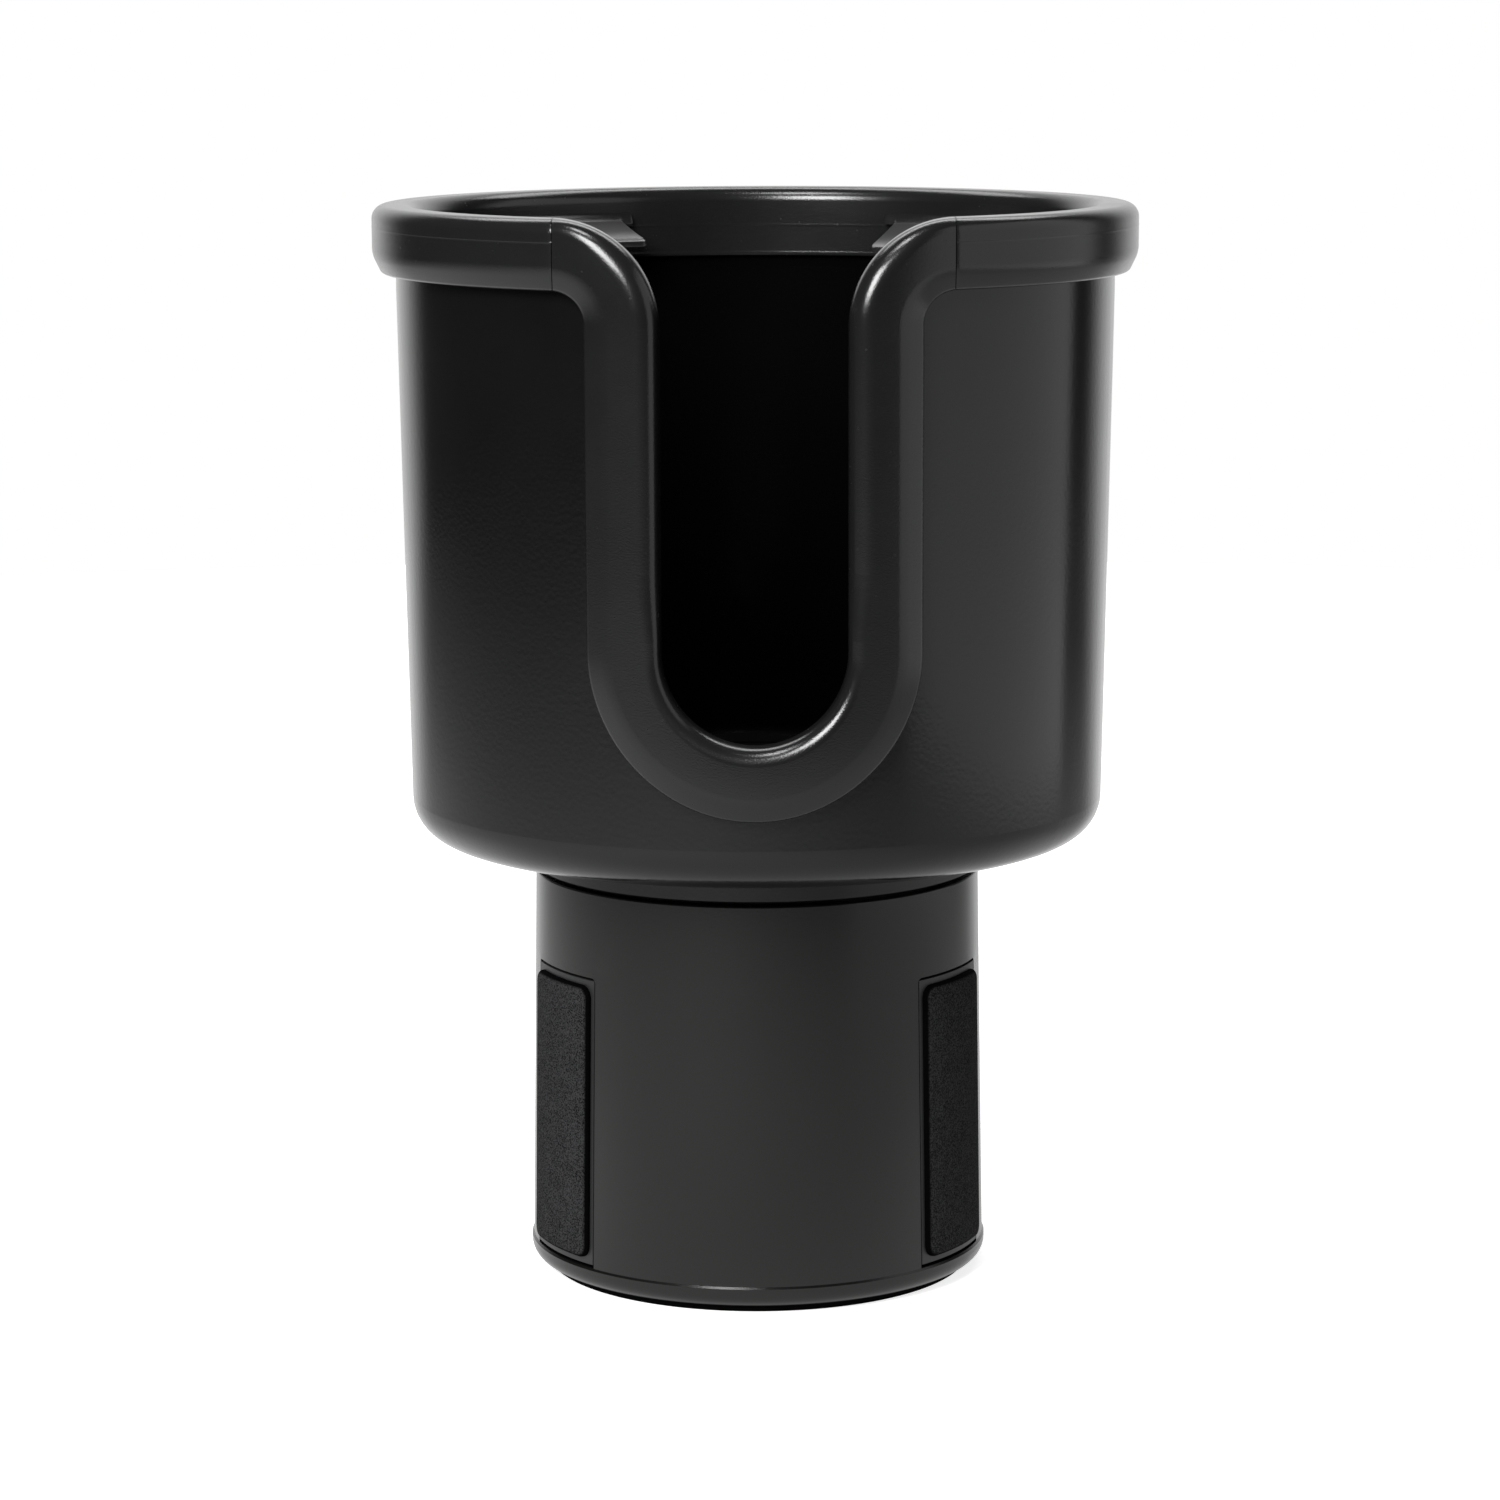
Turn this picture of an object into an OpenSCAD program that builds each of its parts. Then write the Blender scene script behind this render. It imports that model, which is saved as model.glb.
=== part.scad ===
// Cup holder adapter: a wide cup with a handle slot, on a base that grips a car's own cup holder.
// Turning the cup clockwise turns two cams, whose spiral slots push three jaws out of the base.
// Millimetres, +Z up. The origin is the centre of the foot's underside. The handle slot faces -Y.

/* [Base] */
// Radius of the base shell at its top edge
base_top_r = 35; // [34.6:0.1:35.4]
// Radius of the base shell at its bottom edge
base_low_r = 35.9; // [35.6:0.1:36]
// Height of the base shell's top edge
base_top = 63.8; // [63.8:0.1:64]
// Wall of the base shell
base_wall = 2.3; // [2:0.1:2.5]
// Largest radius of the ring at the bottom
ring_r = 36.2; // [36.1:0.1:36.6]
// Radius of the rubber foot
foot_r = 33.5; // [32:0.1:33.6]
// Thickness of the rubber foot that shows
foot_t = 1.2; // [1:0.1:1.4]

/* [Jaws] */
// Travel of each jaw out of the base
jaw_travel = 6.5; // [4:0.1:6.8]
// Turn of the cup that gives this travel
cup_turn = 110; // [95:1:110]
// Width of a window in the base shell
window_w = 18.4; // [17.8:0.1:18.8]
// Height of a window's top edge
window_top = 50.5; // [50:0.1:50.6]
// How far a grip pad stands out of the shell
pad_proud = 1; // [0.8:0.1:1.6]
// Radius of the steel pins in the jaws
pin_r = 2; // [1.6:0.1:2]

/* [Cup] */
// Radius of the cup's wall under the rim
cup_r = 55.7; // [55:0.1:56.5]
// Height of the cup's underside
cup_low = 69.3; // [69.3:0.1:69.8]
// Overall height
cup_top = 168.1; // [164:0.1:172]
// Wall of the cup
cup_wall = 2.4; // [2.2:0.1:2.6]
// Thickness of the cup's floor
cup_floor = 3.2; // [3.1:0.1:3.6]
// How much narrower the cup is at the bottom
cup_draft = 1.4; // [0.6:0.1:1.8]
// Outer rounding at the cup's bottom edge
cup_corner_r = 6.6; // [5:0.1:8]

/* [Handle slot] */
// Width of the slot between its soft lips
slot_w = 27.4; // [26:0.1:29]
// Height of the slot's lowest point
slot_low = 91.5; // [88:0.1:98]
// Radius of the flares where the slot meets the rim
flare_r = 15.5; // [15:0.1:17]

/* [Soft trim] */
// How far the trim stands out of the cup's wall
trim_proud = 3.6; // [3:0.1:4]
// How far it stands into the cup
trim_inward = 1.3; // [1:0.1:1.6]
// Width of its band under the rim
rim_band = 10.4; // [9.6:0.1:10.8]
// Width of its band beside the slot
slot_band = 11; // [10:0.1:11.2]
// Width of the bevel along the band's outer edge
trim_bevel = 2.9; // [2:0.1:3.4]

/* [Grip fins] */
// Radius that the free edges of the fins lie on
fin_tip_r = 44; // [42:0.1:45]
// Angle that each fin covers
fin_span = 35; // [30:1:36]
// Slope of the fins, down and inward
fin_slope = 30.4; // [20:0.1:35]
// Thickness of a fin
fin_t = 1.4; // [1.2:0.1:1.5]
// Angle between the back of the cup and the middle of a back fin
fin_back_angle = 42; // [40:1:48]
// Angle between the slot and the middle of a front fin
fin_front_angle = 62; // [58:1:68]

/* [Hidden] */

$fn = 96;
over = 1;
fit_gap = 0.1;

// Places around the axis, counted from +X
jaw_angles = [210, 330, 90];
post_angles = [30, 150, 270];
collar_screw_angles = [45, 135, 225, 315];
fin_angles = [90 + fin_back_angle, 90 - fin_back_angle, 270 - fin_front_angle, 270 + fin_front_angle];

// Heights in the base, from the foot up
cap_floor = 4.2;
ring_top = 4.6;
ring_round = 2.3;
edge_round = 0.25;
foot_recess = foot_t + 0.8;
foot_boss_r = 30;
deck_low = 59.4;
deck_high = 61.9;
deck_bore_r = 12;
post_circle_r = 29.7;
post_r = 3.6;
post_low = 8;
small_screw_r = 1.46;
small_hole_r = 1.5;

// The jaws slide between ribs. Their arms lie under the lower cam and over the upper one.
jaw_w = window_w - 0.5;
shoe_low = ring_top + 0.55;
shoe_high = window_top - 0.4;
shoe_depth = 8;
shoe_wall = 1.8;
shoe_plate = 2.4;
shoe_margin = 0.9;
pad_step = 0.5;
arm_w = 8;
arm_start = 9.2;
pin_rest_r = 13.5;
lower_arm = [shoe_low + 0.05, 10.4];
upper_arm = [43.6, 49.4];
guide_gap = 0.12;
guide_wall = 2;
guide_end = 27;
cheek_wall = 1.8;

// The cams and what holds them on the spindle
cam_r = 24.8;
cam_t = 4;
cam_slot_r = pin_r + 0.25;
cam_hub_r = 8.4;
lower_cam_z = 13.1;
upper_cam_z = 37.6;
hex_across = 12;
hex_r = hex_across / 2 / cos(30);
hex_hole_r = hex_r + 0.06;
journal_r = 4;
washer_low = 58.2;
washer_high = 59.3;
flange_t = 1;

// The collar under the cup
collar_low = base_top + 0.45;
collar_plate = cup_low - 2.7;
collar_r = base_top_r - 0.1;
collar_screw_circle_r = 24;
stop_r = [18, 20.4];
stop_half_angle = 4;
stop_play = 1.5;

floor_z = cup_low + cup_floor;
draft_top = 155;
draft_low = 78;
// A shallow ring groove in the cup's underside
under_groove = [37, 45.4];
under_groove_depth = 0.8;

// The rounding between the well's wall and its floor, and the soft pad that follows it
well_corner_r = cup_corner_r - 1.6;
well_edge_r = wall_r(cup_low + cup_corner_r) - cup_wall;
well_corner_x = well_edge_r - well_corner_r;
well_corner_z = floor_z + well_corner_r;
pad_top = floor_z + 3.9;
pad_groove_w = 1.6;
pad_groove_depth = 0.8;
pad_grooves_r = [9, 17, 25, 33, 41];

// The trim's section. Its length u runs from the lip along the wall, and w stands out of the wall.
edge_cover = 4.5;
trim_edge = 2.2;
trim_inner_band = 11.6;
lip_outer_r = 2.6;
lip_inner_r = 3.2;
skin_gap = 0.05;
trim_in_w = -cup_wall - trim_inward;
flare_x = slot_w / 2 + flare_r;
flare_z = cup_top - flare_r;
slot_round_z = slot_low + slot_w / 2;
seam_gap = 0.1;

// The fins bend on a straight line, just inside the chord through their roots
trim_inner_r = cup_r + trim_in_w;
fin_root_z = cup_top - 4.5;
fin_hinge_r = trim_inner_r - 3.3;
fin_hinge_z = fin_root_z - (trim_inner_r - fin_hinge_r) * tan(fin_slope);
fin_root_half = 13.3;
fin_root_span = 31.4;

function arc(x, y, r, from, to, steps) =
    [for (i = [0:steps]) let (a = from + (to - from) * i / steps) [x + r * cos(a), y + r * sin(a)]];

// Radius of the base shell and of the cup's wall at a height
function shell_r(z) = base_low_r + (base_top_r - base_low_r) * (z - ring_top) / (base_top - ring_top);
function wall_r(z) = cup_r - cup_draft * max(0, draft_top - z) / (draft_top - draft_low);

module box_between(low, high) {
    translate(low) cube(high - low);
}

// A ring sector around the axis, from one angle to another
module sector(r_in, r_out, low, high, from, to) {
    translate([0, 0, low])
        rotate([0, 0, from])
            rotate_extrude(angle = to - from)
                translate([r_in, 0]) square([r_out - r_in, high - low]);
}

// A screw along Z with its head up, and the bottom of its head at the origin
module screw(shank_r, length, head_r, head_t, socket_r) {
    difference() {
        union() {
            translate([0, 0, -length]) cylinder(r = shank_r, h = length + head_t / 2);
            cylinder(r1 = head_r, r2 = head_r * 0.86, h = head_t);
        }
        translate([0, 0, head_t * 0.4]) cylinder(r = socket_r, h = head_t, $fn = 6);
    }
}

// Window seen from outside, with its low end left open to the ring
module window_outline(w, high, corner) {
    half = w / 2;
    translate([-half, 0]) square([w, high - corner]);
    translate([-half + corner, 0]) square([w - 2 * corner, high]);
    for (side = [-1, 1]) translate([side * (half - corner), high - corner]) circle(r = corner);
}

module base_shell() {
    color("#2c2c2d")
    difference() {
        union() {
            base_tube();
            for (a = post_angles)
                rotate([0, 0, a]) translate([post_circle_r, 0, post_low])
                    cylinder(r = post_r, h = deck_low + 0.5 - post_low);
            for (a = jaw_angles) rotate([0, 0, a]) shell_guides();
            stop_blocks();
        }
        for (a = jaw_angles)
            rotate([0, 0, a]) translate([22, 0, 0]) rotate([90, 0, 90])
                linear_extrude(20) window_outline(window_w, window_top, 0.8);
        for (a = post_angles)
            rotate([0, 0, a]) translate([post_circle_r, 0, post_low - over])
                cylinder(r = small_hole_r, h = 12.5 + over);
        translate([0, 0, deck_low - over]) cylinder(r = deck_bore_r, h = 4);
    }
}

// The drafted tube, its deck and the low wall round the deck
module base_tube() {
    rotate_extrude()
        polygon(concat(
            [[base_low_r - base_wall, ring_top], [base_low_r, ring_top]],
            arc(base_top_r - edge_round, base_top - edge_round, edge_round, 0, 90, 6),
            [
                [base_top_r - base_wall - 0.6, base_top],
                [base_top_r - base_wall - 0.6, deck_high],
                [deck_bore_r - over, deck_high],
                [deck_bore_r - over, deck_low],
                [shell_r(deck_low) - base_wall, deck_low]
            ]
        ));
}

// Ribs for one jaw: a pair under the deck for its upper arm, and a cheek on each side of its window
module shell_guides() {
    for (side = [-1, 1]) {
        y = side > 0 ? arm_w / 2 + guide_gap : -arm_w / 2 - guide_gap - guide_wall;
        box_between([15, y, upper_arm[0] + 0.6], [guide_end, y + guide_wall, deck_low + 0.5]);
        cheek = side > 0 ? window_w / 2 : -window_w / 2 - cheek_wall;
        box_between([guide_end, cheek, ring_top + 4], [31.6, cheek + cheek_wall, window_top + 2]);
    }
}

// Two blocks on the deck, one at each end of the cup's turn
module stop_blocks() {
    clear = 2 * stop_half_angle + stop_play;
    for (from = [270 + stop_half_angle + stop_play, 270 - cup_turn - clear - stop_half_angle])
        sector(stop_r[0], stop_r[1], deck_high - 0.5, deck_high + 1.7, from, from + 2 * stop_half_angle);
}

module base_cap() {
    color("#1f1f20")
    difference() {
        union() {
            rotate_extrude() cap_section();
            cylinder_between(7.6, cap_floor - 0.5, 12);
            difference() {
                sector(31, base_low_r - base_wall - 0.15, cap_floor - 0.5, 7.6, 0, 360);
                for (a = jaw_angles)
                    rotate([0, 0, a])
                        box_between([20, -window_w / 2 - 2.4, cap_floor], [40, window_w / 2 + 2.4, 9]);
            }
            for (a = post_angles)
                rotate([0, 0, a]) translate([post_circle_r, 0, 0])
                    cylinder_between(post_r, cap_floor - 0.5, post_low);
            for (a = jaw_angles) rotate([0, 0, a]) cap_guides();
        }
        cylinder_between(journal_r + 0.06, 3.2, 12 + over);
        for (a = post_angles)
            rotate([0, 0, a]) translate([post_circle_r, 0, 0]) {
                cylinder_between(1.7, 1, post_low + over);
                cylinder_between(3.1, 1, cap_floor + 0.3);
            }
    }
}

module cylinder_between(r, low, high) {
    translate([0, 0, low]) cylinder(r = r, h = high - low);
}

// Half section of the cap: recess for the foot, rounded ring, seat for the shell and floor
module cap_section() {
    round_x = ring_r - ring_round;
    round_z = foot_t + ring_round;
    polygon([
        [0, foot_recess], [foot_boss_r, foot_recess], [foot_boss_r, foot_t], [round_x, foot_t],
        [ring_r, round_z], [ring_r, ring_top - 0.3], [ring_r - 0.3, ring_top],
        [33, ring_top], [32.6, cap_floor], [0, cap_floor]
    ]);
    intersection() {
        translate([round_x, round_z]) circle(r = ring_round);
        translate([foot_boss_r, foot_t]) square([ring_r, ring_round]);
    }
}

// The strip that one jaw's lower arm slides on, and the rib on each side of it
module cap_guides() {
    box_between([arm_start, -arm_w / 2, cap_floor - 0.5], [guide_end + 5, arm_w / 2, lower_arm[0] - fit_gap]);
    for (side = [-1, 1]) {
        y = side > 0 ? arm_w / 2 + guide_gap : -arm_w / 2 - guide_gap - guide_wall;
        box_between([arm_start, y, cap_floor - 0.5], [guide_end, y + guide_wall, lower_arm[1] - 0.4]);
    }
}

module cap_screws() {
    color("silver")
    for (a = post_angles)
        rotate([0, 0, a]) translate([post_circle_r, 0, cap_floor + 0.3]) rotate([180, 0, 0])
            screw(small_screw_r, 12, 2.8, 1.9, 1.2);
}

module foot_pad() {
    color("#141414")
    rotate_extrude()
        polygon(concat(
            [[0, 0], [9, 0], [9.4, 0.4], [10.6, 0.4], [11, 0]],
            [[19, 0], [19.4, 0.4], [20.6, 0.4], [21, 0]],
            arc(foot_r - 0.5, 0.5, 0.5, -90, 0, 4),
            [
                [foot_r, foot_t], [foot_boss_r - fit_gap, foot_t],
                [foot_boss_r - fit_gap, foot_recess], [0, foot_recess]
            ]
        ));
}

// One jaw, drawn along +X: a curved plate with side walls and ribs, and two arms with pin holes
module jaw_shape() {
    half = jaw_w / 2;
    inner = base_low_r - shoe_depth;
    plate_in = base_low_r - shoe_plate - 0.9;
    difference() {
        union() {
            intersection() {
                rotate_extrude()
                    polygon([
                        [inner - 6, shoe_low], [shell_r(shoe_low), shoe_low],
                        [shell_r(shoe_high), shoe_high], [inner - 6, shoe_high]
                    ]);
                difference() {
                    box_between([inner, -half, shoe_low], [40, half, shoe_high]);
                    shoe_pockets(inner - over, plate_in, half - shoe_wall);
                }
            }
            for (arm = [lower_arm, upper_arm]) {
                box_between([pin_rest_r, -arm_w / 2, arm[0]], [plate_in + 0.5, arm_w / 2, arm[1]]);
                translate([pin_rest_r, 0, arm[0]]) cylinder(r = arm_w / 2, h = arm[1] - arm[0]);
            }
        }
        translate([pin_rest_r, 0, 0]) cylinder(r = pin_r + 0.02, h = 60);
    }
}

// The hollows in the back of a jaw, with ribs left between them
module shoe_pockets(x_in, x_out, half) {
    rib = 1.6;
    levels = 4;
    low = shoe_low + 2;
    step = (shoe_high - 2 - low + rib) / levels;
    for (i = [0:levels - 1])
        box_between([x_in, -half, low + i * step], [x_out, half, low + (i + 1) * step - rib]);
}

module jaw(i) {
    color("#38383a") rotate([0, 0, jaw_angles[i]]) jaw_shape();
}

module jaw_pins(i) {
    color("lightgray")
    rotate([0, 0, jaw_angles[i]]) translate([pin_rest_r, 0, 0]) {
        cylinder_between(pin_r, lower_arm[0] + 0.4, lower_cam_z + cam_t + 0.5);
        cylinder_between(pin_r, upper_cam_z - 0.5, upper_arm[1] - 0.4);
    }
}

// A pad is a curved layer with rounded corners. Its outer part is drawn a little smaller.
module grip_pad(i) {
    low = shoe_low + shoe_margin;
    high = shoe_high - shoe_margin;
    color("#5a5b5e")
    rotate([0, 0, jaw_angles[i]])
        for (layer = [[0, pad_proud - pad_step, 0], [pad_proud - pad_step - 0.05, pad_proud, pad_step]])
            intersection() {
                pad_layer(layer[0], layer[1]);
                translate([30, 0, 0]) rotate([90, 0, 90]) linear_extrude(10)
                    rounded_plate(jaw_w - shoe_margin - 2 * layer[2], low + layer[2], high - layer[2], 2);
            }
}

module pad_layer(from, to) {
    rotate_extrude()
        polygon([
            [shell_r(0) + from, 0], [shell_r(0) + to, 0],
            [shell_r(60) + to, 60], [shell_r(60) + from, 60]
        ]);
}

module rounded_plate(w, low, high, r) {
    translate([-w / 2, low + r]) square([w, high - low - 2 * r]);
    translate([-w / 2 + r, low]) square([w - 2 * r, high - low]);
    for (x = [-w / 2 + r, w / 2 - r], z = [low + r, high - r]) translate([x, z]) circle(r = r);
}

// The shaft: a round journal in the cap, a flange under the lower cam, and a hexagon above it
module spindle() {
    color("gainsboro")
    difference() {
        union() {
            cylinder_between(journal_r, 3.4, 12.6);
            cylinder_between(cam_hub_r, lower_cam_z - flange_t, lower_cam_z);
            translate([0, 0, lower_cam_z - 0.5]) cylinder(r = hex_r, h = 66 - lower_cam_z + 0.5, $fn = 6);
        }
        cylinder_between(2.52, 50, 66 + over);
    }
}

// One cam disc. A pin in slot i starts at its jaw's angle, and the slot leads it out by the travel.
module cam_plate(low) {
    translate([0, 0, low])
        difference() {
            cylinder(r = cam_r, h = cam_t);
            for (a = jaw_angles)
                rotate([0, 0, a]) translate([0, 0, -over]) linear_extrude(cam_t + 2 * over) spiral_slot();
        }
}

module spiral_slot() {
    steps = 22;
    inner = [for (i = [0:steps]) slot_point(i / steps, -cam_slot_r)];
    outer = [for (i = [steps:-1:0]) slot_point(i / steps, cam_slot_r)];
    polygon(concat(inner, outer));
    for (end = [0, 1]) translate(slot_point(end, 0)) circle(r = cam_slot_r);
}

function slot_point(part, side) =
    let (a = cup_turn * part, r = pin_rest_r + jaw_travel * part + side) [r * cos(a), r * sin(a)];

module hex_hole(low, high) {
    translate([0, 0, low]) cylinder(r = hex_hole_r, h = high - low, $fn = 6);
}

module lower_cam() {
    color("ivory")
    difference() {
        union() {
            cam_plate(lower_cam_z);
            cylinder_between(cam_hub_r, lower_cam_z, lower_cam_z + cam_t + 2.4);
        }
        hex_hole(lower_cam_z - over, lower_cam_z + 10);
    }
}

module spacer_tube() {
    color("ivory")
    difference() {
        cylinder_between(cam_hub_r, lower_cam_z + cam_t + 2.4, upper_cam_z);
        cylinder_between(hex_r + 0.15, lower_cam_z, upper_cam_z + over);
    }
}

module upper_cam() {
    color("ivory")
    difference() {
        union() {
            cam_plate(upper_cam_z);
            cylinder_between(cam_hub_r, upper_cam_z, washer_low);
        }
        hex_hole(upper_cam_z - over, washer_low + over);
    }
}

module thrust_washer() {
    color("silver")
    difference() {
        cylinder_between(14.6, washer_low, washer_high);
        cylinder_between(hex_r + 0.15, washer_low - over, washer_high + over);
    }
}

// The neck: a skirt that shows, a hub in the deck's bore, and a thrust ring that carries the cup
module turn_collar() {
    color("#2c2c2d")
    difference() {
        union() {
            rotate_extrude()
                polygon([
                    [0, washer_high], [deck_bore_r - 0.07, washer_high],
                    [deck_bore_r - 0.07, deck_high + fit_gap],
                    [17, deck_high + fit_gap], [17, collar_plate], [30, collar_plate], [30, deck_high + 0.5],
                    [31.7, deck_high + 0.5], [31.7, collar_plate], [32.6, collar_plate],
                    [32.6, collar_low], [collar_r - 0.3, collar_low], [collar_r, collar_low + 0.3],
                    [collar_r, cup_low], [0, cup_low]
                ]);
            for (a = collar_screw_angles)
                rotate([0, 0, a]) translate([collar_screw_circle_r, 0, 0])
                    cylinder_between(3.4, collar_plate - 3.4, collar_plate + 0.5);
            for (i = [0:7])
                rotate([0, 0, 22.5 + 45 * i])
                    box_between([16.5, -0.8, collar_plate - 2], [30.5, 0.8, collar_plate + 0.5]);
            sector(stop_r[0], stop_r[1], deck_high + 0.4, collar_plate + 0.5,
                270 - stop_half_angle, 270 + stop_half_angle);
        }
        hex_hole(washer_high - over, 66.1);
        cylinder_between(2.6, 60, cup_low + over);
        for (a = collar_screw_angles)
            rotate([0, 0, a]) translate([collar_screw_circle_r, 0, 0])
                cylinder_between(small_hole_r, collar_plate - 2.8, cup_low + over);
    }
}

module collar_screws() {
    color("silver")
    for (a = collar_screw_angles)
        rotate([0, 0, a]) translate([collar_screw_circle_r, 0, floor_z - 2])
            screw(small_screw_r, 6.4, 2.8, 1.9, 1.2);
}

module spindle_screw() {
    color("silver") translate([0, 0, floor_z - 2.2]) screw(2.48, 18, 5, 2.1, 2.2);
}

module cup_body() {
    color("#232324")
    difference() {
        rotate_extrude() cup_section();
        rotate([90, 0, 0]) linear_extrude(80) slot_opening(edge_cover);
        for (a = collar_screw_angles)
            rotate([0, 0, a]) translate([collar_screw_circle_r, 0, 0]) {
                cylinder_between(1.7, cup_low - over, floor_z + over);
                cylinder_between(3.1, floor_z - 2, floor_z + over);
            }
        cylinder_between(2.7, cup_low - over, floor_z + over);
        cylinder_between(5.3, floor_z - 2.2, floor_z + over);
    }
}

// Half section of the cup. The well is cut out of a solid with a rounded lower edge.
module cup_section() {
    top = cup_top - edge_cover;
    corner_z = cup_low + cup_corner_r;
    edge_r = wall_r(corner_z);
    difference() {
        union() {
            polygon([
                [0, cup_low], [under_groove[0], cup_low],
                [under_groove[0] + under_groove_depth, cup_low + under_groove_depth],
                [under_groove[1] - under_groove_depth, cup_low + under_groove_depth],
                [under_groove[1], cup_low],
                [edge_r - cup_corner_r, cup_low], [edge_r, corner_z],
                [cup_r, draft_top], [cup_r, top], [0, top]
            ]);
            translate([edge_r - cup_corner_r, corner_z]) circle(r = cup_corner_r);
        }
        polygon([
            [0, floor_z], [well_corner_x, floor_z], [well_edge_r, well_corner_z],
            [cup_r - cup_wall, draft_top], [cup_r - cup_wall, top + over], [0, top + over]
        ]);
        translate([well_corner_x, well_corner_z]) circle(r = well_corner_r);
    }
}

// The slot seen from the front, drawn larger than its lip by the given margin
module slot_opening(margin) {
    half = slot_w / 2 + margin;
    translate([0, slot_round_z]) circle(r = half);
    translate([-half, slot_round_z]) square([2 * half, cup_top + over - slot_round_z]);
    difference() {
        translate([-flare_x, flare_z]) square([2 * flare_x, cup_top + over - flare_z]);
        for (side = [-1, 1]) translate([side * flare_x, flare_z]) circle(r = flare_r - margin);
    }
}

// A soft mat on the well's floor, with ring grooves that keep a wet bottle from sticking
module floor_pad() {
    color("#2e2e30")
    difference() {
        rotate_extrude()
            intersection() {
                union() {
                    translate([0, floor_z]) square([well_corner_x, pad_top - floor_z]);
                    translate([well_corner_x, well_corner_z]) circle(r = well_corner_r - 0.15);
                }
                polygon([
                    [0, floor_z], [well_edge_r, floor_z], [well_edge_r, pad_top - 0.5],
                    [well_edge_r - 1, pad_top], [0, pad_top]
                ]);
            }
        for (r = pad_grooves_r)
            sector(r, r + pad_groove_w, pad_top - pad_groove_depth, pad_top + over, 0, 360);
    }
}

// Points along a straight edge, without its last one
function run(from, to, parts) = [for (i = [0:parts - 1]) from + (to - from) * i / parts];

// Section of the trim as [u, w] points: bevelled band, rounded lip, inner band and the wall's groove.
// Its long edges are split into parts where the section follows the slot, so that they bend with the wall.
function trim_section(band, parts) =
    let (groove = edge_cover - fit_gap, in_low = -cup_wall - skin_gap, in_end = trim_inner_band)
    concat(
        run([groove, skin_gap], [band, skin_gap], parts),
        [[band, skin_gap], [band, trim_edge]],
        run([band - trim_bevel, trim_proud], [lip_outer_r, trim_proud], parts),
        arc(lip_outer_r, trim_proud - lip_outer_r, lip_outer_r, 90, 180, 6),
        arc(lip_inner_r, trim_in_w + lip_inner_r, lip_inner_r, 180, 270, 6),
        run([in_end - 0.8, trim_in_w], [in_end, trim_in_w + 0.7], 1),
        run([in_end, trim_in_w + 0.7], [in_end, in_low], 1),
        run([in_end, in_low], [groove, in_low], parts),
        [[groove, in_low]]
    );

module rim_trim() {
    color("#262627")
    union() {
        difference() {
            rotate_extrude() polygon([for (p = trim_section(rim_band, 1)) [cup_r + p[1], cup_top - p[0]]]);
            box_between([-flare_x, -80, cup_top - 20], [flare_x, 0, cup_top + over]);
        }
        for (a = fin_angles) rotate([0, 0, a]) fin_root();
    }
}

// The root of one fin: a sloping ledge on the trim, cut straight beside the fin's bending line
module fin_root() {
    rise = tan(fin_slope);
    in_r = fin_hinge_r - 2;
    out_r = trim_inner_r + 0.6;
    intersection() {
        rotate([0, 0, -fin_root_span / 2])
            rotate_extrude(angle = fin_root_span)
                polygon([
                    [in_r, fin_root_z - (trim_inner_r - in_r) * rise - fin_t / 2],
                    [out_r, fin_root_z - fin_t / 2],
                    [out_r, fin_root_z + fin_t / 2 + 0.4],
                    [in_r, fin_root_z - (trim_inner_r - in_r) * rise + fin_t / 2]
                ]);
        box_between([fin_hinge_r + fin_t / 2 + 0.3, -30, cup_top - 30], [60, 30, cup_top]);
    }
}

// One fin: a flat plate with a concave free edge, on a round root along its bending line
module grip_fin(i) {
    reach = (fin_hinge_r - fin_tip_r) / cos(fin_slope);
    tip_half = fin_tip_r * sin(fin_span / 2);
    tip_curve_r = 38;
    color("#6a6a6c")
    rotate([0, 0, fin_angles[i]]) translate([fin_hinge_r, 0, fin_hinge_z]) rotate([0, -fin_slope, 0]) {
        translate([0, 0, -fin_t / 2]) linear_extrude(fin_t)
            offset(r = 1.5, $fn = 24) offset(delta = -1.5)
                difference() {
                    polygon([
                        [0, -fin_root_half], [0, fin_root_half],
                        [-reach - 4, tip_half - 0.3], [-reach - 4, -tip_half + 0.3]
                    ]);
                    translate([-reach - tip_curve_r, 0]) circle(r = tip_curve_r);
                }
        rotate([90, 0, 0]) cylinder(r = fin_t / 2, h = 2 * fin_root_half - 1, center = true);
    }
}

// Stations along the slot's lip: a place, the direction away from the opening, and the band's width.
// Each flare runs from the seam at the rim down to the slot's side, and the round bottom joins them.
function flare_station(side, part) =
    let (a = 90 - 90 * part)
    [[side * (flare_x - flare_r * cos(a)), flare_z + flare_r * sin(a)],
        [side * cos(a), -sin(a)],
        rim_band + (slot_band - rim_band) * part];

function round_station(a) =
    [[slot_w / 2 * cos(a), slot_round_z + slot_w / 2 * sin(a)], [cos(a), sin(a)], slot_band];

flare_steps = 9;
round_steps = 20;
trim_stations = concat(
    [for (i = [0:flare_steps]) flare_station(-1, i / flare_steps)],
    [for (i = [0:round_steps]) round_station(180 + 180 * i / round_steps)],
    [for (i = [flare_steps:-1:0]) flare_station(1, i / flare_steps)]
);

// A section point carried to a station and laid on the cup's round wall
function on_wall(station, p) =
    let (
        x = station[0][0] + station[1][0] * p[0],
        z = station[0][1] + station[1][1] * p[0],
        r = wall_r(z) + p[1]
    )
    [x, -sqrt(r * r - x * x), z];

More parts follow.
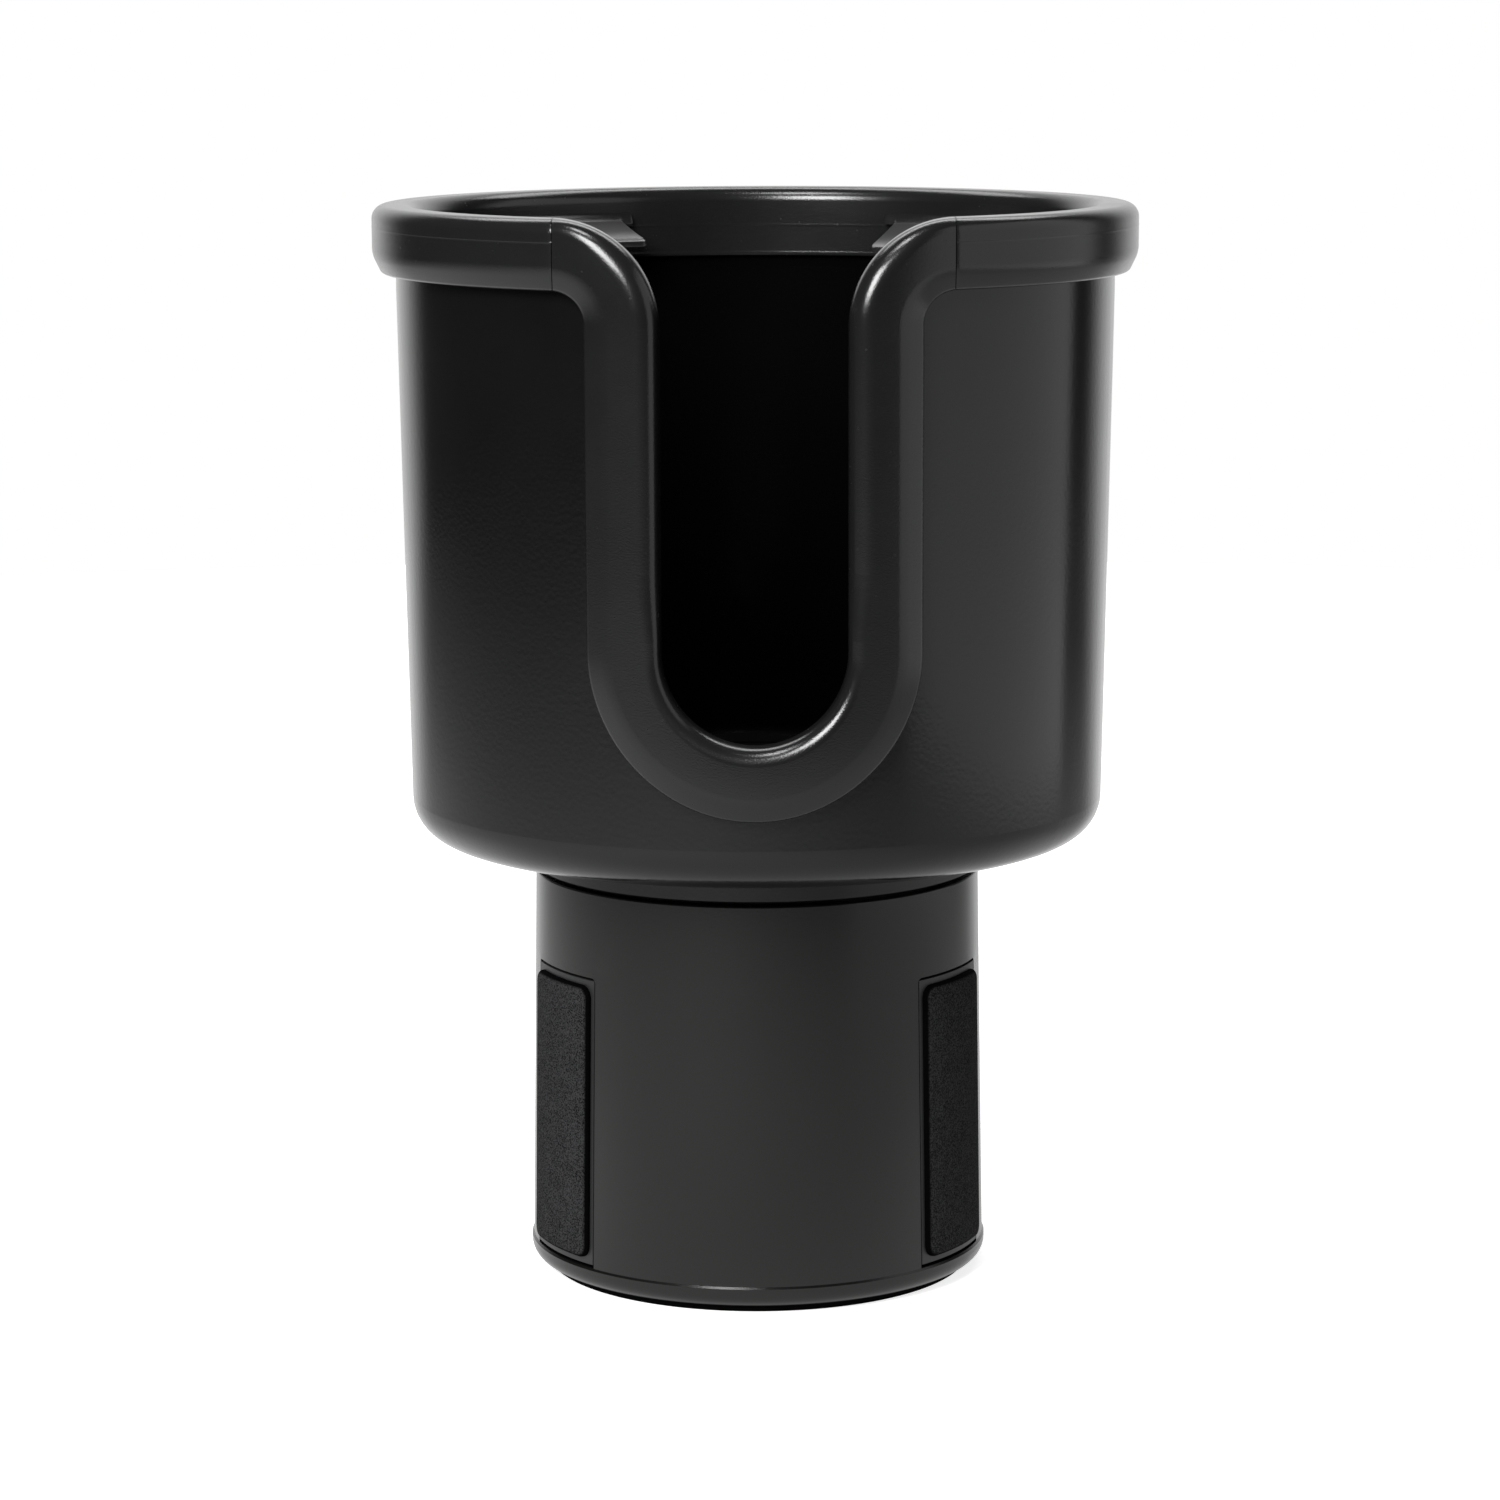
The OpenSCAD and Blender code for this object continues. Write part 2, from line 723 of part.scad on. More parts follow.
module slot_trim() {
    rings = [for (s = trim_stations) [for (p = trim_section(s[2], 3)) on_wall(s, p)]];
    n = len(rings[0]);
    last = len(rings) - 1;
    side_faces = [
        for (i = [0:last - 1], j = [0:n - 1])
            let (a = i * n + j, b = i * n + (j + 1) % n)
            each [[a, b, b + n], [a, b + n, a + n]]
    ];
    ends = [[for (j = [n - 1:-1:0]) j], [for (j = [0:n - 1]) last * n + j]];
    shrink = (flare_x - seam_gap) / flare_x;
    color("#262627")
    intersection() {
        polyhedron(points = [for (ring = rings) each ring], faces = concat(side_faces, ends), convexity = 6);
        box_between([-flare_x * shrink, -80, slot_low - 20], [flare_x * shrink, 0, cup_top + over]);
    }
}

base_shell();
base_cap();
cap_screws();
foot_pad();
jaw(0);  // jaw_1
jaw(1);  // jaw_2
jaw(2);  // jaw_3
jaw_pins(0);  // jaw_pins_1
jaw_pins(1);  // jaw_pins_2
jaw_pins(2);  // jaw_pins_3
grip_pad(0);  // grip_pad_1
grip_pad(1);  // grip_pad_2
grip_pad(2);  // grip_pad_3
spindle();
lower_cam();
spacer_tube();
upper_cam();
thrust_washer();
turn_collar();
collar_screws();
spindle_screw();
cup_body();
floor_pad();
rim_trim();
slot_trim();
grip_fin(0);  // grip_fin_1
grip_fin(1);  // grip_fin_2
grip_fin(2);  // grip_fin_3
grip_fin(3);  // grip_fin_4
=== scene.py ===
"""Cup holder adapter: finishes, soft trim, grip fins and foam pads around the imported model.

Pieces are drawn in millimetres and made metres when they are finished. Materials and the studio
are in metres throughout. The slot faces -Y.
"""
import math

import bmesh
import bpy
from mathutils import Matrix, Vector


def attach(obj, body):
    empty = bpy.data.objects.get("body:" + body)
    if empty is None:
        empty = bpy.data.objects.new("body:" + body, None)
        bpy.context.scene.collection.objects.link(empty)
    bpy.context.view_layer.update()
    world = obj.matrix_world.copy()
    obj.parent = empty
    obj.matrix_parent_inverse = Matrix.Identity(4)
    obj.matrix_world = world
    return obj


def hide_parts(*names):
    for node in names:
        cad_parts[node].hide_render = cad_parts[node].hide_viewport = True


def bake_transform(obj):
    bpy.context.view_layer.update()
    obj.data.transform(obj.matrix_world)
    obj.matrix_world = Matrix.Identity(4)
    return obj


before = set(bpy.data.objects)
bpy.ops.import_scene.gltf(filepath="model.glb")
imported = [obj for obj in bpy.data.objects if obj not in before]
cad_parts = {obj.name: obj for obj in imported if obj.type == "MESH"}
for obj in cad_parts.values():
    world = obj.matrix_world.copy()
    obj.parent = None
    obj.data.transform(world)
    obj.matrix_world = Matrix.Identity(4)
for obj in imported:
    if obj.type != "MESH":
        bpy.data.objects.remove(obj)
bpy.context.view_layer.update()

MM = 0.001
WELD = 0.0001
SHARP_ANGLE = 32.0

# Roundings over LARGE_ROUND get the larger number of segments.
LARGE_ROUND = 1.5
LARGE_SEGMENTS = 16
SMALL_SEGMENTS = 5

# Sizes, as in part.scad, in millimetres.
CUP_R = 55.7
CUP_TOP = 168.1
CUP_WALL = 2.4
CUP_DRAFT = 1.4
DRAFT_TOP = 155.0
DRAFT_HEIGHT = 77.0
SLOT_HALF = 13.7
SLOT_ROUND_Z = 105.2
FLARE_R = 15.5
FLARE_Z = CUP_TOP - FLARE_R
FLARE_X = SLOT_HALF + FLARE_R
BASE_TOP = 63.8
BASE_TOP_R = 35.0
BASE_LOW_R = 35.9
RING_TOP = 4.6


def wall_radius(z):
    """Radius of the cup's wall at a height."""
    return CUP_R - CUP_DRAFT * max(0.0, DRAFT_TOP - z) / DRAFT_HEIGHT


def shell_radius(z):
    """Radius of the base shell at a height."""
    return BASE_LOW_R + (BASE_TOP_R - BASE_LOW_R) * (z - RING_TOP) / (BASE_TOP - RING_TOP)


def ease(share):
    """0 below 0, 1 above 1, and a smooth ramp between them."""
    share = max(0.0, min(1.0, share))
    return share * share * (3 - 2 * share)


# Mesh helpers.
def rounded_face(bm, corners, place):
    """A flat face from (across, up, rounding) corners. place turns across and up into a point."""
    verts = [bm.verts.new(place(u, w)) for u, w, _ in corners]
    bm.faces.new(verts)
    for vert, (_, _, rounding) in zip(verts, corners):
        if rounding:
            bmesh.ops.bevel(
                bm, geom=[vert], affect="VERTICES", offset=rounding, offset_type="OFFSET",
                segments=LARGE_SEGMENTS if rounding > LARGE_ROUND else SMALL_SEGMENTS,
                profile=0.5, material=-1,
            )
    return bm.faces[:]


def with_edges(faces):
    """The faces with their edges and corners, each once."""
    edges = dict.fromkeys(e for f in faces for e in f.edges)
    verts = dict.fromkeys(v for f in faces for v in f.verts)
    return [*faces, *edges, *verts]


def sweep_round(bm, faces, centre, axis, degrees, steps):
    """Spins a section's face round an axis and returns the face at the far end."""
    made = bmesh.ops.spin(
        bm, geom=with_edges(faces), cent=centre, axis=axis, dvec=(0, 0, 0),
        angle=math.radians(degrees), steps=steps, use_merge=False,
    )
    return [g for g in made["geom_last"] if isinstance(g, bmesh.types.BMFace)]


def sweep_straight(bm, faces, move, steps):
    """Extrudes a section's face in equal steps and returns the face at the far end."""
    for _ in range(steps):
        made = bmesh.ops.extrude_face_region(bm, geom=faces)
        faces = [g for g in made["geom"] if isinstance(g, bmesh.types.BMFace)]
        verts = [g for g in made["geom"] if isinstance(g, bmesh.types.BMVert)]
        bmesh.ops.translate(bm, vec=Vector(move) / steps, verts=verts)
    return faces


def round_edges(bm, edges, radius, segments):
    """Rounds edges off."""
    bmesh.ops.bevel(
        bm, geom=edges, affect="EDGES", offset=radius, offset_type="OFFSET",
        segments=segments, profile=0.5, material=-1,
    )


def turn_about_z(bm, degrees):
    """Turns everything about the object's axis."""
    matrix = Matrix.Rotation(math.radians(degrees), 3, "Z")
    bmesh.ops.rotate(bm, cent=(0, 0, 0), matrix=matrix, verts=bm.verts)


def as_object(name, bm):
    """Makes a bmesh in millimetres an object at the origin, in metres."""
    bmesh.ops.scale(bm, vec=(MM, MM, MM), verts=bm.verts)
    mesh = bpy.data.meshes.new(name)
    bm.to_mesh(mesh)
    bm.free()
    made = bpy.data.objects.new(name, mesh)
    bpy.context.scene.collection.objects.link(made)
    return made


def finish_piece(name, bm, finish, turn=0.0):
    """Turns a piece to its place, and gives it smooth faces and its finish."""
    bmesh.ops.recalc_face_normals(bm, faces=bm.faces[:])
    turn_about_z(bm, turn)
    piece = as_object(name, bm)
    mesh = piece.data
    mesh.polygons.foreach_set("use_smooth", [True] * len(mesh.polygons))
    mesh.set_sharp_from_angle(angle=math.radians(SHARP_ANGLE))
    mesh.materials.append(finish)
    return piece


# Materials.
class Value:
    """One output of a node, so that shader maths reads as ordinary sums."""

    def __init__(self, graph, socket):
        self.graph = graph
        self.socket = socket

    def sum_with(self, operation, first, second):
        return self.graph.node("ShaderNodeMath", {"operation": operation}, {0: first, 1: second})

    def __add__(self, other):
        return self.sum_with("ADD", self, other)

    def __radd__(self, other):
        return self.sum_with("ADD", other, self)

    def __sub__(self, other):
        return self.sum_with("SUBTRACT", self, other)

    def __rsub__(self, other):
        return self.sum_with("SUBTRACT", other, self)

    def __mul__(self, other):
        return self.sum_with("MULTIPLY", self, other)

    def __rmul__(self, other):
        return self.sum_with("MULTIPLY", other, self)

    def __truediv__(self, other):
        return self.sum_with("DIVIDE", self, other)

    def __rtruediv__(self, other):
        return self.sum_with("DIVIDE", other, self)

    def __pow__(self, other):
        return self.sum_with("POWER", self, other)

    def __rpow__(self, other):
        return self.sum_with("POWER", other, self)


class Graph:
    """A node tree in the making. Its one method adds any node."""

    def __init__(self, tree):
        self.tree = tree

    def node(self, kind, settings=None, sockets=None, out=0):
        """Adds a node: its settings first, then the values or links of its sockets.

        Gives back the output named by out, or a list of them for a tuple of names.
        """
        made = self.tree.nodes.new(kind)
        for key, value in (settings or {}).items():
            setattr(made, key, value)
        for key, value in (sockets or {}).items():
            if isinstance(value, Value):
                self.tree.links.new(value.socket, made.inputs[key])
            else:
                made.inputs[key].default_value = value
        if isinstance(out, tuple):
            return [Value(self, made.outputs[name]) for name in out]
        return Value(self, made.outputs[out])

    def place(self, kind="Object"):
        """Position on the object, in metres, or for Generated in the world the ray's direction."""
        return self.node("ShaderNodeTexCoord", out=kind)

    def axes(self, kind="Object"):
        """The same place as three values."""
        return self.node("ShaderNodeSeparateXYZ", None, {0: self.place(kind)}, out=("X", "Y", "Z"))

    def smooth_step(self, value, low, high, start=0.0, end=1.0):
        """start below low, end above high, and a smooth ramp between them."""
        return self.node(
            "ShaderNodeMapRange", {"interpolation_type": "SMOOTHSTEP"},
            {"Value": value, "From Min": low, "From Max": high, "To Min": start, "To Max": end},
        )


class Finish(Graph):
    """A material in the making."""

    def __init__(self, name, roughness=0.5, ior=1.49, metallic=0.0):
        self.material = bpy.data.materials.new(name)
        self.material.use_nodes = True
        super().__init__(self.material.node_tree)
        self.shader = self.tree.nodes["Principled BSDF"]
        self.shader.inputs["Roughness"].default_value = roughness
        self.shader.inputs["IOR"].default_value = ior
        self.shader.inputs["Metallic"].default_value = metallic

    def noise(self, scale, detail=2.0, rough=0.5, place=None):
        """Cloudy noise from 0 to 1, with its size given per metre."""
        return self.node("ShaderNodeTexNoise", None, {
            "Vector": place or self.place(), "Scale": scale, "Detail": detail, "Roughness": rough,
        })

    def stretched(self, x, y, z):
        """The object's place with each axis scaled, for patterns drawn out along one of them."""
        return self.node(
            "ShaderNodeMapping", None, {"Vector": self.place(), "Scale": (x, y, z)}
        )

    def pits(self, scale, feature="F1"):
        """Distance to the nearest of many scattered points."""
        return self.node(
            "ShaderNodeTexVoronoi", {"feature": feature},
            {"Vector": self.place(), "Scale": scale, "Randomness": 1.0}, out="Distance",
        )

    def tint(self, factor, dark, light):
        """A colour between two others."""
        return self.node(
            "ShaderNodeMix", {"data_type": "RGBA"},
            {"Factor": factor, "A": (*dark, 1), "B": (*light, 1)}, out="Result",
        )

    def mix_in(self, other, factor):
        """Mixes another shader into the finished one."""
        mixed = self.node(
            "ShaderNodeMixShader", None,
            {0: factor, 1: Value(self, self.shader.outputs[0]), 2: other},
        )
        self.tree.links.new(mixed.socket, self.tree.nodes["Material Output"].inputs["Surface"])

    def dress(self, colour, roughness=None, height=None, depth=0.0):
        """Connects colour, roughness and a bump height, which depth turns into metres."""
        self.tree.links.new(colour.socket, self.shader.inputs["Base Color"])
        if roughness is not None:
            self.tree.links.new(roughness.socket, self.shader.inputs["Roughness"])
        if height is not None:
            bump = self.node(
                "ShaderNodeBump", None, {"Height": height, "Strength": 1.0, "Distance": depth}
            )
            self.tree.links.new(bump.socket, self.shader.inputs["Normal"])
        return self.material


def from_axis(across, along):
    """Distance from the object's axis."""
    return (across * across + along * along) ** 0.5


# Where finishes change, as smooth steps between two radii or heights, in metres.
# WELL_R and WELL_FLOOR bound the cup's inside, which is darkened as painted shade.
WELL_R = (0.0534, 0.0542)
WELL_FLOOR = (0.0765, 0.078)
FLAP_MATT_START = (0.0448, 0.0485)
FLAP_MATT_END = (0.0502, 0.0507)
FOAM_FACE_EDGE = (0.0367, 0.03695)

# The base's radius shrinks by this much of the height, so FOAM_FACE_EDGE is its radius at the foot.
BASE_TAPER = 0.0152

# Painted shade: the matt black mixed in over the cup's inside.
WELL_PAINTED_SHADE = (0.0008, 0.0008, 0.0009, 1)

# Noise per metre and bump depths in metres that more than one finish shares.
FINE_GRAIN = 4200
SOFT_CLOUD = 60
SILKY = 0.00002
MATT = 0.00005


def grained_plastic(name, dark, light, rough, grain_scale, grain_depth):
    """Moulded plastic: a fine leather grain, faint handling marks and dust. The cup's inside is
    painted shade: darker, with a matt black coat mixed in.
    """
    finish = Finish(name)
    cells = finish.pits(grain_scale, feature="SMOOTH_F1")
    fine = finish.noise(grain_scale * 2.2, detail=2)
    cloud = finish.noise(38, detail=3)
    handled = finish.noise(9, detail=4, rough=0.6)
    grain = cells * 0.75 + fine * 0.35
    specks = finish.smooth_step(finish.noise(2600, detail=1), 0.74, 0.82)
    across, along, up = finish.axes()
    inside = finish.smooth_step(from_axis(across, along), *WELL_R, 1.0, 0.0)
    # Painted shade: the cup's inside is darkened, and a matt black coat is mixed in over it.
    painted_well_shade = inside * finish.smooth_step(up, *WELL_FLOOR)
    colour = finish.tint((cloud * 0.7 + specks * 0.6 + fine * 0.3) * (1 - painted_well_shade), dark, light)
    roughness = rough + cloud * 0.06 + (handled - 0.5) * 0.12
    finish.dress(colour, roughness, grain, grain_depth)
    # Painted shade: a matt black coat over the cup's inside.
    matt = finish.node("ShaderNodeBsdfDiffuse", None, {"Color": WELL_PAINTED_SHADE})
    finish.mix_in(matt, painted_well_shade * (0.7 + handled * 0.15))
    return finish.material


def satin_plastic(name, dark, light, rough):
    """Smooth moulded plastic: faint flow marks up the wall, fine polish haze and small scuffs."""
    finish = Finish(name)
    flow = finish.noise(1, detail=3, place=finish.stretched(90, 90, 9))
    haze = finish.noise(3200, detail=1)
    cloud = finish.noise(26, detail=3)
    scratches = finish.noise(1, detail=5, place=finish.stretched(500, 500, 60))
    scuff = finish.smooth_step(scratches, 0.66, 0.8)
    colour = finish.tint(cloud * 0.8 + scuff * 0.3, dark, light)
    roughness = rough + flow * 0.07 + scuff * 0.05
    return finish.dress(colour, roughness, haze * 0.5 + flow * 0.6, SILKY)


def soft_rubber(name, dark, light, rough, depth=SILKY, ior=1.49):
    """Soft moulded elastomer: silky, with a very fine matt grain and a trace of bloom."""
    finish = Finish(name, ior=ior)
    grain = finish.noise(FINE_GRAIN, detail=2)
    bloom = finish.noise(SOFT_CLOUD, detail=4, rough=0.6)
    lint = finish.smooth_step(finish.noise(1900, detail=0), 0.84, 0.88)
    colour = finish.tint(bloom * 0.8 + lint * 0.5, dark, light)
    roughness = rough + bloom * 0.09 + lint * 0.2
    return finish.dress(colour, roughness, grain, depth)


def flap_rubber(name, dark, light):
    """The fins' elastomer: silky at the strip and the free edge, matt where the flap bends."""
    finish = Finish(name)
    grain = finish.noise(FINE_GRAIN, detail=2)
    bloom = finish.noise(SOFT_CLOUD, detail=4, rough=0.6)
    across, along, _ = finish.axes()
    radius = from_axis(across, along)
    matt = (
        finish.smooth_step(radius, *FLAP_MATT_START)
        * finish.smooth_step(radius, *FLAP_MATT_END, 1.0, 0.0)
    )
    colour = finish.tint(bloom, dark, light)
    return finish.dress(colour, 0.2 + bloom * 0.05 + matt * 0.45, grain, SILKY)


def speckled_foam(name, dark, light):
    """Closed-cell foam: cut cells, dark pits and grey walls between them; its colour goes black on
    the sides.
    """
    finish = Finish(name, ior=1.1)
    cells = finish.pits(4200)
    larger = finish.pits(1900)
    fluff = finish.noise(4600, detail=2, rough=0.7)
    cloud = finish.noise(300, detail=2)
    height = cells * 0.5 + larger * 0.35 + fluff * 0.4
    across, along, up = finish.axes()
    proud = from_axis(across, along) + up * BASE_TAPER
    # The colour goes black on the pad's sides, below its outer face.
    face_share = finish.smooth_step(proud + (fluff - 0.5) * 0.0001, *FOAM_FACE_EDGE)
    pattern = cells * 0.6 + fluff * 1.1 + cloud * 0.12 + larger * 0.15
    colour = finish.tint(finish.smooth_step(pattern, 0.7, 1.2) * face_share, dark, light)
    roughness = 0.8 + fluff * 0.2
    return finish.dress(colour, roughness, height, depth=0.0001)


def turned_steel(name, dark, light):
    """Zinc-plated steel with fine turning lines round the axis."""
    finish = Finish(name, metallic=1.0, ior=2.5)
    lines = finish.noise(1, detail=2, place=finish.stretched(300, 300, 5200))
    stain = finish.noise(140, detail=3)
    colour = finish.tint(stain, dark, light)
    return finish.dress(colour, 0.26 + lines * 0.12 + stain * 0.08, lines, depth=0.00001)


CUP_PLASTIC = grained_plastic(
    "leather grained cup plastic", (0.0018, 0.0018, 0.0019), (0.0052, 0.0052, 0.0054),
    rough=0.14, grain_scale=1500, grain_depth=0.000012,
)
BASE_PLASTIC = satin_plastic(
    "satin base plastic", (0.0024, 0.0023, 0.0021), (0.0062, 0.0059, 0.0055), rough=0.2
)
JAW_PLASTIC = satin_plastic(
    "jaw plastic", (0.012, 0.012, 0.0125), (0.017, 0.017, 0.0175), rough=0.42
)
CAM_PLASTIC = satin_plastic(
    "natural cam plastic", (0.60, 0.57, 0.49), (0.68, 0.65, 0.57), rough=0.36
)
TRIM_RUBBER = soft_rubber(
    "soft trim rubber", (0.006, 0.006, 0.0062), (0.0095, 0.0095, 0.0098), rough=0.16
)
FIN_RUBBER = flap_rubber("fin rubber", (0.005, 0.005, 0.0052), (0.009, 0.009, 0.0093))
FLOOR_RUBBER = soft_rubber(
    "floor pad rubber", (0.002, 0.002, 0.0021), (0.005, 0.005, 0.0052),
    rough=0.7, depth=MATT, ior=1.2,
)
FOOT_RUBBER = soft_rubber(
    "foot rubber", (0.001, 0.001, 0.001), (0.002, 0.002, 0.002),
    rough=0.8, depth=MATT, ior=1.15,
)
GRIP_FOAM = speckled_foam("speckled grip foam", (0.0006, 0.0006, 0.0007), (0.036, 0.036, 0.0372))
STEEL = turned_steel("turned steel", (0.42, 0.42, 0.43), (0.62, 0.62, 0.61))

NODE_FINISHES = {
    "cup_body": CUP_PLASTIC,
    "base_shell": BASE_PLASTIC, "base_cap": BASE_PLASTIC, "turn_collar": BASE_PLASTIC,
    "jaw_1": JAW_PLASTIC, "jaw_2": JAW_PLASTIC, "jaw_3": JAW_PLASTIC,
    "lower_cam": CAM_PLASTIC, "upper_cam": CAM_PLASTIC, "spacer_tube": CAM_PLASTIC,
    "floor_pad": FLOOR_RUBBER, "foot_pad": FOOT_RUBBER,
    "spindle": STEEL, "spindle_screw": STEEL, "thrust_washer": STEEL,
    "cap_screws": STEEL, "collar_screws": STEEL,
    "jaw_pins_1": STEEL, "jaw_pins_2": STEEL, "jaw_pins_3": STEEL,
}
for node_name, finish in NODE_FINISHES.items():
    for material_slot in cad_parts[node_name].material_slots:
        material_slot.material = finish


# The soft trim. Its section is measured from the lip along the wall, and out from the wall's face.
# The lip's rounding grows from LIP_RIM_R at a seam to LIP_FLARE_R within LIP_TURN_SHARE of the
# flare's turn, and from LIP_SLOT_R at the slot's bottom to LIP_FLARE_R over LIP_FADE of the side.
SEAM_GAP = 0.06
SEAM_BEVEL = 0.06
SEAM_BEVEL_SEGMENTS = 2
SEAM_REACH = (10, 45)
RIM_START = -61.0
RIM_STEPS = 220
FLARE_STEPS = 26
SIDE_STEPS = 24
ROUND_STEPS = 60
LIP_RIM_R = 2.1
LIP_SLOT_R = 2.6
LIP_FLARE_R = 3.9
LIP_FADE = 12.0
LIP_TURN_SHARE = 0.5
LIP_INNER_R = 2.3
TRIM_PROUD = 3.6
TRIM_IN = -3.7
TRIM_GAP = 0.05
TRIM_WALL_END = 4.4
TRIM_EDGE = 2.2
TRIM_SHOULDER = 2.9
TRIM_FOOT_START = 10.5
TRIM_FOOT_FULL = 10.7
TRIM_FOOT_END = 11.3
TRIM_FOOT_STEP = 0.03
RIM_BAND = 10.4
SLOT_BAND = 11.0
OUTER_LINE_PLACE = 3.3
OUTER_LINE_PROUD = 0.035
INNER_LINE_PLACE = 6.2
INNER_LINE_PROUD = 0.015
LINE_HALF = 0.4
LINE_CREST = 0.12


def trim_corners(band, lip_r):
    """Corners of the trim's section: distance from the lip, distance out of the wall, rounding."""
    wall_inside = -CUP_WALL - TRIM_GAP
    return [
        (TRIM_WALL_END, TRIM_GAP, 0), (band, TRIM_GAP, 0), (band, TRIM_EDGE, 0.5),
        (band - TRIM_SHOULDER, TRIM_PROUD, 0.9), (0, TRIM_PROUD, lip_r),
        (0, TRIM_IN, LIP_INNER_R), (TRIM_FOOT_START, TRIM_IN, 0.1),
        (TRIM_FOOT_FULL, TRIM_IN - TRIM_FOOT_STEP, 0.1),
        (TRIM_FOOT_END, TRIM_IN - TRIM_FOOT_STEP, 0.25),
        (TRIM_FOOT_END, wall_inside, 0), (TRIM_WALL_END, wall_inside, 0),
    ]


def mould_line(place, height, proud):
    """The fine raised line that two mould halves leave along a face."""
    return [
        (place + LINE_HALF, height, 0), (place + LINE_CREST, height, 0),
        (place, height + proud, 0),
        (place - LINE_CREST, height, 0), (place - LINE_HALF, height, 0),
    ]


def lay_on_wall(bm):
    """Wraps a flat band on the cup's round wall. Its own -Y is the distance out of the wall."""
    for vert in bm.verts:
        x, y, z = vert.co
        radius = wall_radius(z) - y
        vert.co.y = -math.sqrt(radius * radius - x * x)


def soften_seam(bm, ends):
    """Rounds the edges of a trim piece's end faces, so that the seam shows as a fine groove."""
    edges = dict.fromkeys(e for f in ends for e in f.edges)
    round_edges(bm, list(edges), SEAM_BEVEL, SEAM_BEVEL_SEGMENTS)


def flat_slot_band(lip_r):
    """The band round the slot before it is bent: flares, straight sides and the round bottom."""
    bm = bmesh.new()
    flare_x = FLARE_X - SEAM_GAP
    straight = FLARE_Z - SLOT_ROUND_Z
    section = rounded_face(
        bm, trim_corners(SLOT_BAND, lip_r), lambda u, w: (-flare_x, -w, CUP_TOP - u)
    )
    face = sweep_round(bm, section, (-flare_x, 0, FLARE_Z), (0, 1, 0), 90, FLARE_STEPS)
    face = sweep_straight(bm, face, (0, 0, -straight), SIDE_STEPS)
    face = sweep_round(bm, face, (0, 0, SLOT_ROUND_Z), (0, -1, 0), 180, ROUND_STEPS)
    face = sweep_straight(bm, face, (0, 0, straight), SIDE_STEPS)
    sweep_round(bm, face, (flare_x, 0, FLARE_Z), (0, 1, 0), 90, FLARE_STEPS)
    return bm


def slot_trim_piece():
    """The band round the slot, laid on the wall.

    Its lip is fuller at the flares than at the bottom, and at each seam it is the rim's. Its
    outer face narrows over the flares to the width of the rim's band.
    """
    bm = flat_slot_band(LIP_FLARE_R)
    sharp = flat_slot_band(LIP_RIM_R)
    least = (LIP_SLOT_R - LIP_RIM_R) / (LIP_FLARE_R - LIP_RIM_R)
    for vert, sharp_vert in zip(bm.verts, sharp.verts):
        x, y, z = vert.co
        if z <= FLARE_Z:
            full = least + (1 - least) * ease((z - SLOT_ROUND_Z) / LIP_FADE)
            vert.co = sharp_vert.co.lerp(vert.co, full)
            continue
        centre = Vector((math.copysign(FLARE_X - SEAM_GAP, x), 0, FLARE_Z))
        away = Vector((x, 0, z)) - centre
        part = math.atan2(abs(away.x), away.z) / (math.pi / 2)
        vert.co = sharp_vert.co.lerp(vert.co, ease(part / LIP_TURN_SHARE))
        away = Vector((vert.co.x, 0, vert.co.z)) - centre
        if y < 0:
            depth = FLARE_R - away.length
            away.length = FLARE_R - depth * (1 - (1 - part) * (1 - RIM_BAND / SLOT_BAND))
            vert.co.x = centre.x + away.x
            vert.co.z = centre.z + away.z
    sharp.free()
    lay_on_wall(bm)
    soften_seam(bm, [f for f in bm.faces if len(f.verts) > 4])
    return bm


def cut_to_seam(bm, side):
    """Cuts one end of the rim's band at its seam, and closes it with a flat face."""
    near = []
    for face in bm.faces:
        middle = face.calc_center_median()
        if middle.y < 0 and SEAM_REACH[0] < side * middle.x < SEAM_REACH[1]:
            near.append(face)
    cut = bmesh.ops.bisect_plane(
        bm, geom=with_edges(near), dist=WELD, clear_outer=True, clear_inner=False,
        plane_co=(side * (FLARE_X + SEAM_GAP / 2), 0, 0), plane_no=(-side, 0, 0),
    )
    edges = [g for g in cut["geom_cut"] if isinstance(g, bmesh.types.BMEdge)]
    return bmesh.ops.contextual_create(bm, geom=edges)["faces"]


def rim_trim_piece():
    """The same section, with its mould lines, spun round the cup's top from seam to seam."""
    bm = bmesh.new()
    corners = trim_corners(RIM_BAND, LIP_RIM_R)
    corners[4:4] = mould_line(OUTER_LINE_PLACE, TRIM_PROUD, OUTER_LINE_PROUD)
    corners[11:11] = mould_line(INNER_LINE_PLACE, TRIM_IN, -INNER_LINE_PROUD)[::-1]
    section = rounded_face(bm, corners, lambda u, w: (CUP_R + w, 0, CUP_TOP - u))
    turn_about_z(bm, RIM_START)
    sweep_round(bm, section, (0, 0, 0), (0, 0, 1), 180 - 2 * RIM_START, RIM_STEPS)
    soften_seam(bm, cut_to_seam(bm, 1) + cut_to_seam(bm, -1))
    return bm


for trim_name, make_trim in (("slot_trim", slot_trim_piece), ("rim_trim", rim_trim_piece)):
    trim = finish_piece(f"soft_{trim_name}", make_trim(), TRIM_RUBBER)
    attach(trim, "cup")
    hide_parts(trim_name)


